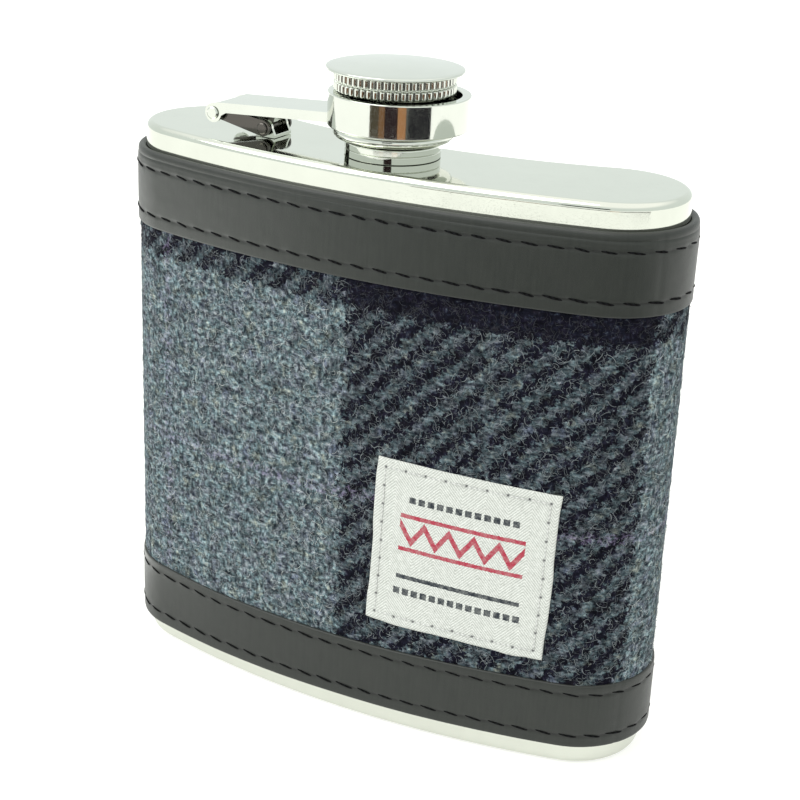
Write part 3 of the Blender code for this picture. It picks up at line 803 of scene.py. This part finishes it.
def loose_hairs():
    """Curled flat hairs that stand a little off the cloth, shaded like the block they grow in."""
    rng = np.random.default_rng(SEED)
    count, joints = HAIRS, HAIR_JOINTS
    s0 = rng.uniform(-GIRTH / 2, GIRTH / 2, count)
    z0 = rng.uniform(LOWER_BAND[1] + 0.2 * MM, UPPER_BAND[0] - 0.4 * MM, count)
    heading = rng.uniform(0, 2 * math.pi, count)
    curl = rng.normal(0, 2.8, count)
    length = rng.uniform(0.5, 1.9, count) * MM
    lift = rng.uniform(0.02, 0.24, count) * MM
    half_width = rng.uniform(0.014, 0.028, count) * MM
    points = np.zeros((count, joints, 2, 3))
    step = length / (joints - 1)
    s, h = s0.copy(), z0.copy()
    for index in range(joints):
        part = index / (joints - 1)
        angle = heading + curl * (part - 0.5)
        rise = 0.06 * MM + lift * math.sin(math.pi * part) ** 0.7 + 0.02 * MM
        for edge, sign in enumerate((-1, 1)):
            es = s - sign * half_width * np.sin(angle)
            eh = h + sign * half_width * np.cos(angle)
            x, y, _, _ = around(es, CLOTH_FACE + rise)
            points[:, index, edge] = np.stack([x, y, eh], -1)
        s = s + step * np.cos(angle)
        h = h + step * np.sin(angle)
    strand = grid_faces(joints, 2)
    faces = (strand[None] + np.arange(count)[:, None, None] * joints * 2).reshape(-1, 4)
    fibres = mesh_object("tweed_surface_hairs", points.reshape(-1, 3).tolist(), faces.tolist(),
                         FIBRE)
    light_warp = np.mod(s0, 2 * BLOCK) > BLOCK
    light_weft = z0 < DARK_WEFT_Z
    share = np.where(light_warp & light_weft, 1,
                     np.where(light_warp | light_weft, 0.72, 0.1))
    write_values(fibres, "shade", np.repeat(rng.beta(1.3, 1.3, count) * share, joints * 2))
    return placed(fibres, "flask", "tweed")


def tweed():
    along = np.linspace(-GIRTH / 2, GIRTH / 2, 600)[:, None]
    z = np.linspace(CLOTH[0], CLOTH[1], 160)[None, :]
    offset = CLOTH_FACE + tweed_height(along, z)
    from_seam = GIRTH / 2 - np.abs(along)
    offset = offset - 0.75 * MM * (1 - smooth(from_seam, 0, 0.9 * MM))
    from_end = np.minimum(z - CLOTH[0], CLOTH[1] - z)
    offset = offset - 0.25 * MM * (1 - smooth(from_end, 2 * MM, 3.6 * MM))
    x, y, _, _ = around(np.broadcast_to(along, offset.shape), offset)
    points = np.stack([x, y, np.broadcast_to(z, offset.shape)], -1)
    flat = np.stack(np.broadcast_arrays(along, z), -1)
    sleeve = grid_object("tweed_sleeve", points, TWEED, flat=flat)
    placed(sleeve, "flask", "tweed", "tweed_panel")
    fibres = loose_hairs()
    return sleeve


# ---- leather bands
STITCH_Z = {}
for stitch_node in ("upper_band_top_stitch", "upper_band_edge_stitch",
                    "lower_band_edge_stitch", "lower_band_bottom_stitch"):
    low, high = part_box(stitch_node)
    STITCH_Z[stitch_node] = (low.z + high.z) / 2

# Drop of the lower band's two edges at stations round the body
SAG_STATIONS = np.array((-GIRTH / 2, -75 * MM, -50 * MM, -25 * MM, 0, 25 * MM, 50 * MM,
                         75 * MM, GIRTH / 2))
LOW_EDGE_SAG = np.array((0.5, 0.8, 1.1, 1, 0.65, 0.45, 0.4, 0.4, 0.5)) * MM
HIGH_EDGE_SAG = np.array((0.2, 0.3, 0.2, 0.8, 0.75, 0.3, 0.1, 0.1, 0.2)) * MM


def sagged(along, z):
    """Height z after the small, uneven drop of the hand-fitted lower band."""
    part = smooth(z, *LOWER_BAND)
    low = np.interp(along, SAG_STATIONS, LOW_EDGE_SAG)
    high = np.interp(along, SAG_STATIONS, HIGH_EDGE_SAG)
    on_lower_band = np.asarray(z) < (LOWER_BAND[1] + UPPER_BAND[0]) / 2
    return z - on_lower_band * (low * (1 - part) + high * part)


def band(name, profile, rows, node):
    """A leather band: profile is (z, offset) pairs up the outside; rows are its stitch heights."""
    along = girth_stations(0.45 * MM)[:, None]
    z, base = np.array(profile).T[:, None]
    face = smooth(base, 0.9 * MM, 1.25 * MM)
    hide = value_noise(along / (11 * MM), z / (6 * MM), SEED + 5, wrap=19)
    offset = base + face * 0.05 * MM * hide
    grain = value_noise(along / (1.6 * MM), z / (1.2 * MM), SEED + 6)
    offset = offset + face * 0.016 * MM * grain
    hole = np.zeros(offset.shape)
    for height in rows:
        spot = np.exp(-((z - height) / (0.2 * MM)) ** 2)
        near = np.exp(-((z - height) / (0.55 * MM)) ** 2)
        phase = (along + GIRTH / 2) / STITCH_PITCH
        pinch = np.abs(phase - np.round(phase)) * 2
        offset = offset - 0.075 * MM * near * face * (1 - smooth(pinch, 0, 0.6))
        offset = offset - 0.1 * MM * spot * face
        # painted shade for the stitch groove and its needle holes, which the leather's colour
        # reads
        hole = np.maximum(hole, 0.75 * spot * (1 - 0.7 * smooth(pinch, 0, 0.7)))
    crease = np.exp(-((along - BAND_JOINT) / (0.22 * MM)) ** 2)
    offset = offset - 0.14 * MM * crease * face
    x, y, _, _ = around(np.broadcast_to(along, offset.shape), offset)
    points = np.stack([x, y, np.broadcast_to(sagged(along, z), offset.shape)], -1)
    closed_along = np.append(along[:, 0], GIRTH / 2)[:, None]
    flat = np.stack(np.broadcast_arrays(closed_along, z), -1)
    outer = np.minimum(z - z.min(), z.max() - z)
    edge = np.broadcast_to(1 - smooth(outer, 0, 0.25 * MM), offset.shape)
    obj = grid_object(name, points, LEATHER, wrap_rows=True, flat=flat,
                      masks={"edge": edge, "hole": hole})
    return placed(obj, "flask", "black_leather", node)


def span(first, last, count):
    """Evenly spaced (z, offset) pairs, the last left out."""
    return [(first[0] + (last[0] - first[0]) * i / count,
             first[1] + (last[1] - first[1]) * i / count) for i in range(count)]


def turned_edge(edge, face, *places):
    """Profile points at places of (mm above the edge, mm in from the face)."""
    return [(edge + up * MM, face - inward * MM) for up, inward in places]


def leather():
    low, high = UPPER_BAND
    face, inner, back = BAND_FACE, CLOTH_FACE + 0.05 * MM, 0.1 * MM
    upper = turned_edge(low, inner, (0.02, 0.35), (0, 0))
    upper += turned_edge(low, face, (0.02, 0.12), (0.12, 0.02))
    upper += span((low + 0.3 * MM, face), (high - 2 * MM, face + 0.03 * MM), 44)
    upper += span((high - 2 * MM, face), (high - 1.45 * MM, face - 0.02 * MM), 4)
    upper += turned_edge(high, face, (-1.32, 0.08), (-1.22, 0.15), (-1.12, 0.12), (-1, 0.09),
                         (-0.75, 0.1), (-0.45, 0.17), (-0.2, 0.32), (-0.05, 0.52), (0, 0.75),
                         (-0.05, 1))
    upper += [(high - 0.3 * MM, back)]
    rows = [STITCH_Z["upper_band_top_stitch"], STITCH_Z["upper_band_edge_stitch"]]
    band("upper_leather_band", upper, rows, "upper_band")

    low, high = LOWER_BAND
    lower = [(low + 0.3 * MM, back)]
    lower += turned_edge(low, face, (0.04, 1), (0, 0.6), (0.05, 0.25), (0.2, 0.04))
    lower += span((low + 0.45 * MM, face), (high - 0.3 * MM, face + 0.02 * MM), 44)
    lower += turned_edge(high, face, (-0.3, 0), (-0.12, 0.02), (-0.02, 0.12))
    lower += turned_edge(high, inner, (0, 0), (-0.02, 0.35))
    rows = [STITCH_Z["lower_band_edge_stitch"], STITCH_Z["lower_band_bottom_stitch"]]
    band("lower_leather_band", lower, rows, "lower_band")


def dash_mesh(paths, radius, sides=8):
    """Points, faces and flat places of threads lying along paths of (position, outward) pairs."""
    points, faces, flat = [], [], []
    for path in paths:
        first = len(points)
        count = len(path)
        for index, (spot, outward) in enumerate(path):
            before = path[max(index - 1, 0)][0]
            after = path[min(index + 1, count - 1)][0]
            ahead = (after - before).normalized()
            side = ahead.cross(outward).normalized()
            up = side.cross(ahead)
            part = index / (count - 1)
            swell = radius * (0.35 + 0.65 * math.sin(math.pi * min(max(part, 0.03), 0.97)) ** 0.45)
            for turn in range(sides):
                angle = 2 * math.pi * turn / sides
                points.append(spot + (side * math.cos(angle) + up * math.sin(angle)) * swell)
                flat.append((part * 2.4 * MM, turn / sides * MM))
        for index in range(count - 1):
            for turn in range(sides):
                a = first + index * sides + turn
                b = first + index * sides + (turn + 1) % sides
                faces.append((a, b, b + sides, a + sides))
        faces.append(tuple(first + turn for turn in reversed(range(sides))))
        faces.append(tuple(first + (count - 1) * sides + turn for turn in range(sides)))
    return points, faces, flat


def dash_object(name, paths, radius, look):
    points, faces, flat = dash_mesh(paths, radius)
    obj = mesh_object(name, points, faces, look)
    layer = obj.data.uv_layers.new(name="flat")
    for loop in obj.data.loops:
        layer.data[loop.index].uv = flat[loop.vertex_index]
    return obj


def thread_point(x, y, z, nx, ny):
    """A (position, outward) pair of a thread's path."""
    return Vector((float(x), float(y), float(z))), Vector((float(nx), float(ny), 0))


def stitch_row(node, z, length, radius, seed):
    """One row of saddle stitches: slanted dashes that dive into the leather at each end."""
    rng = np.random.default_rng(seed)
    paths = []
    for index in range(STITCHES):
        middle = -GIRTH / 2 + STITCH_PITCH * (index + 0.5)
        lean = STITCH_LEAN + rng.normal(0, 0.03)
        here = length * (1 + rng.normal(0, 0.06))
        path = []
        for step in range(7):
            part = step / 6 - 0.5
            dive = 0.2 * MM * (2 * abs(part)) ** 4
            x, y, nx, ny = around(middle + here * part * math.cos(lean),
                                  BAND_FACE - 0.05 * MM - dive)
            height = float(sagged(middle, z)) + here * part * math.sin(lean)
            path.append(thread_point(x, y, height, nx, ny))
        paths.append(path)
    obj = dash_object(node + "_threads", paths, radius, BLACK_THREAD)
    placed(obj, "flask", "black_thread", node)


def stitches():
    for seed, (node, z) in enumerate(STITCH_Z.items()):
        length, radius = (3, 0.19) if node.startswith("upper") else (3.1, 0.16)
        stitch_row(node, z, length * MM, radius * MM, SEED + 10 + seed)


# ---- label
def label_place(u, v, offset):
    """Point of the tilted label's own frame on the curved front, moved out by offset."""
    cos, sin = math.cos(LABEL_TILT), math.sin(LABEL_TILT)
    scale = (FRONT_RADIUS + CLOTH_FACE) / FRONT_RADIUS
    along = (LABEL_CENTRE[0] + u * cos - v * sin) * scale
    z = LABEL_CENTRE[1] + u * sin + v * cos
    x, y, nx, ny = around(along, offset)
    return x, y, z, nx, ny


def label_holes():
    """Needle holes round the label, in order, in its own frame."""
    half_u = LABEL_WIDTH / 2 - LABEL_MARGIN
    half_v = LABEL_HEIGHT / 2 - LABEL_MARGIN
    corners = ((-half_u, -half_v), (half_u, -half_v), (half_u, half_v), (-half_u, half_v))
    holes = []
    for (u0, v0), (u1, v1) in zip(corners, corners[1:] + corners[:1]):
        for step in range(8):
            holes.append((u0 + (u1 - u0) * step / 8, v0 + (v1 - v0) * step / 8))
    return holes


def hem(u):
    """Rise of the label's turned-under ends."""
    half = LABEL_WIDTH / 2
    return 0.07 * MM * smooth(np.abs(u), half - 2.6 * MM, half - 2.2 * MM)


def label():
    half_u, half_v = LABEL_WIDTH / 2, LABEL_HEIGHT / 2
    u = np.linspace(-half_u, half_u, 150)[:, None]
    v = np.linspace(-half_v, half_v, 145)[None, :]
    u, v = np.broadcast_arrays(u, v)
    wave_v = 0.2 * MM * value_noise(u / (3.2 * MM), 0 * v, SEED + 30)
    wave_v = wave_v * smooth(-v, half_v * 0.5, half_v)
    wave_u = 0.16 * MM * value_noise(0 * u, v / (3.5 * MM), SEED + 31)
    wave_u = wave_u * smooth(np.abs(u), half_u * 0.6, half_u)
    from_edge = np.minimum(half_u - np.abs(u), half_v - np.abs(v))
    face = CLOTH_FACE + LABEL_THICKNESS + 0.02 * MM
    ridge = 0.035 * MM * np.sin(13 * (v * 0.9 / MM + np.abs((u / MM + 40) % 7.2 - 3.6)))
    offset = face + hem(u) + ridge * 0.5
    offset = offset + 0.07 * MM * value_noise(u / (4 * MM), v / (4 * MM), SEED + 32)
    offset = offset - 0.16 * MM * (1 - smooth(from_edge, 0, 0.35 * MM))
    hole = np.zeros(u.shape)
    holes = label_holes()
    for hu, hv in holes:
        distance = np.hypot(u - hu, v - hv)
        # painted shade round each needle hole, which the label's colour reads
        hole = np.maximum(hole, 1 - smooth(distance, 0.1 * MM, 0.34 * MM))
        offset = offset - 0.1 * MM * np.exp(-(distance / (0.45 * MM)) ** 2)
    x, y, z, _, _ = label_place(u + wave_u, v + wave_v, offset)
    points = np.stack([x, y, z], -1)
    flat = np.stack([u, v], -1)
    patch = grid_object("woven_patch", points, LABEL, flat=flat, masks={"hole": hole})
    rim = patch.modifiers.new("cloth_thickness", "SOLIDIFY")
    rim.thickness = 0.28 * MM
    rim.offset = -1
    placed(patch, "flask", "woven_patch", "woven_label")

    rng = np.random.default_rng(SEED + 33)
    paths = []
    for (u0, v0), (u1, v1) in zip(holes, holes[1:] + holes[:1]):
        path = []
        for step in range(7):
            part = 0.06 + 0.88 * step / 6
            sink = 0.14 * MM * (2 * abs(part - 0.5)) ** 6
            pu = u0 + (u1 - u0) * part + rng.normal(0, 0.012) * MM
            pv = v0 + (v1 - v0) * part + rng.normal(0, 0.012) * MM
            path.append(thread_point(*label_place(pu, pv, face + hem(pu) + 0.05 * MM - sink)))
        paths.append(path)
    sewing = dash_object("label_sewing", paths, 0.1 * MM, WHITE_THREAD)
    placed(sewing, "flask", "white_thread", "label_stitch")


# ---- stage, lights and camera
CAMERA_PLACE = Vector((0.12415, -0.23093, 0.15176))
CAMERA_TARGET = Vector((0.00266, -0.00301, 0.04863))
CAMERA_ROLL = math.radians(2.38)
CAMERA_BEARING = math.atan2(CAMERA_PLACE.y - NECK_Y, CAMERA_PLACE.x)
FLAG_RADIUS = 0.25


def floor():
    look, tree, shader = new_look("pale_floor")
    speck = noise_of(object_mm(tree), 0.02, 2)
    tone = ramp(speck, (0.3, (0.55, 0.55, 0.54)), (0.7, (0.57, 0.57, 0.56)))
    feed(shader, {"Base Color": tone, "Roughness": 0.9, "Specular IOR Level": 0.1,
                  "Emission Color": (1, 1, 0.97, 1), "Emission Strength": 0.6})
    half, z = 4, -0.2 * MM
    points = [(-half, -half, z), (half, -half, z), (half, half, z), (-half, half, z)]
    obj = mesh_object("studio_floor", points, [(0, 1, 2, 3)], look)
    obj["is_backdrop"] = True


def card(name, bearings, radius, z, masks=None):
    """A curved card round the neck that only glossy surfaces see, still without its light.

    Bearings are degrees from the camera's.
    """
    angles = CAMERA_BEARING + np.radians(bearings)[:, None]
    grid = np.broadcast_arrays(radius * np.cos(angles), NECK_Y + radius * np.sin(angles), z)
    look, tree, shader = new_look(name + "_look")
    feed(shader, {"Base Color": (0, 0, 0, 1), "Roughness": 1,
                  "Specular IOR Level": 0})
    obj = grid_object(name, np.stack(grid, -1), look, masks=masks)
    obj.visible_camera = False
    obj.visible_shadow = False
    obj.visible_diffuse = False
    obj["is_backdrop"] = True
    return tree, shader


def studio_flag(name, colour, bearings, heights):
    """An upright card for the steel, in a slightly uneven colour."""
    bearings = np.linspace(*bearings, 12)
    tree, shader = card(name, bearings, FLAG_RADIUS, np.array(heights)[None, :])
    shade = mixed(noise_of(object_mm(tree), 0.1), (*colour, 1),
                  (*(c * 0.7 for c in colour), 1))
    feed(shader, {"Emission Color": shade, "Emission Strength": 1})


def low_card():
    """A low card round the front, bright at the left and dark at the right, for the leather."""
    bearings = np.linspace(-130, 60, 60)
    z = np.array((0.001, 0.001, 0.001, 0.02))[None, :]
    lit = 1 - smooth(bearings, -105, -38)[:, None]
    radius = np.array((0.11, 0.18, 0.25, 0.25)) - 0.045 * lit * np.array((1, 0, 0, 0))
    glow = 0.22 + 3.4 * lit + 0 * z
    tree, shader = card("low_card", bearings, radius, z, {"glow": glow})
    feed(shader, {"Emission Color": (0.98, 1, 0.96, 1),
                  "Emission Strength": mask(tree, "glow")})


def flags():
    """Cards that give the polished steel its dark and brown streaks."""
    cards = ((-46, -31, (0.12, 0.1, 0.07)), (-31, -22, (0.3, 0.16, 0.08)),
             (-22, -1.6, (0.035, 0.02, 0.022)), (-1.6, 11, (0.62, 0.3, 0.13)),
             (11, 15, (0.12, 0.13, 0.12)), (15, 51, (0.018, 0.018, 0.022)))
    for index, (start, end, colour) in enumerate(cards):
        studio_flag(f"flag_{index}", colour, (start, end), (0.036, 0.06))
    studio_flag("flag_high", (0.035, 0.02, 0.022), (-20, -1.6), (0.118, 0.168))
    low_card()


def lights():
    world = bpy.data.worlds.new("studio_sky")
    bpy.context.scene.world = world
    world.use_nodes = True
    tree = world.node_tree
    spot = add(tree, "TexCoord").outputs["Generated"]
    height = fed("SeparateXYZ", {0: spot}).outputs[2]
    tone = ramp(height, (0, (0.66, 0.705, 0.69)), (0.55, (0.68, 0.72, 0.71)),
                (0.8, (1, 1, 0.98)))
    tree.links.new(tone, tree.nodes["Background"].inputs["Color"])
    tree.nodes["Background"].inputs["Strength"].default_value = 1.5

    sun = bpy.data.lights.new("soft_top_light", "SUN")
    sun.energy = 1.6
    sun.angle = math.radians(50)
    lamp = bpy.data.objects.new("soft_top_light", sun)
    lamp.rotation_euler = (Vector((-0.55, -0.6, 1))).to_track_quat("Z", "Y").to_euler()
    bpy.context.scene.collection.objects.link(lamp)


def camera():
    data = bpy.data.cameras.new("camera")
    data.lens = 78.674
    data.sensor_width = 36
    data.shift_x = 0.00845
    data.shift_y = 0.0226
    data.clip_start = 0.01
    data.clip_end = 20
    obj = bpy.data.objects.new("camera", data)
    forward = (CAMERA_TARGET - CAMERA_PLACE).normalized()
    right = forward.cross(Vector((0, 0, 1))).normalized()
    up = right.cross(forward)
    tilted_right = right * math.cos(CAMERA_ROLL) + up * math.sin(CAMERA_ROLL)
    tilted_up = up * math.cos(CAMERA_ROLL) - right * math.sin(CAMERA_ROLL)
    turn = Matrix((tilted_right, tilted_up, -forward)).transposed()
    obj.matrix_world = Matrix.Translation(CAMERA_PLACE) @ turn.to_4x4()
    bpy.context.scene.collection.objects.link(obj)
    bpy.context.scene.camera = obj
    bpy.context.scene.view_settings.view_transform = "Standard"


body_metal()
cap()
ring()
cad_steel()
tweed_piece = tweed()
leather()
stitches()
label()
floor()
flags()
lights()
camera()

low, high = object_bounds()
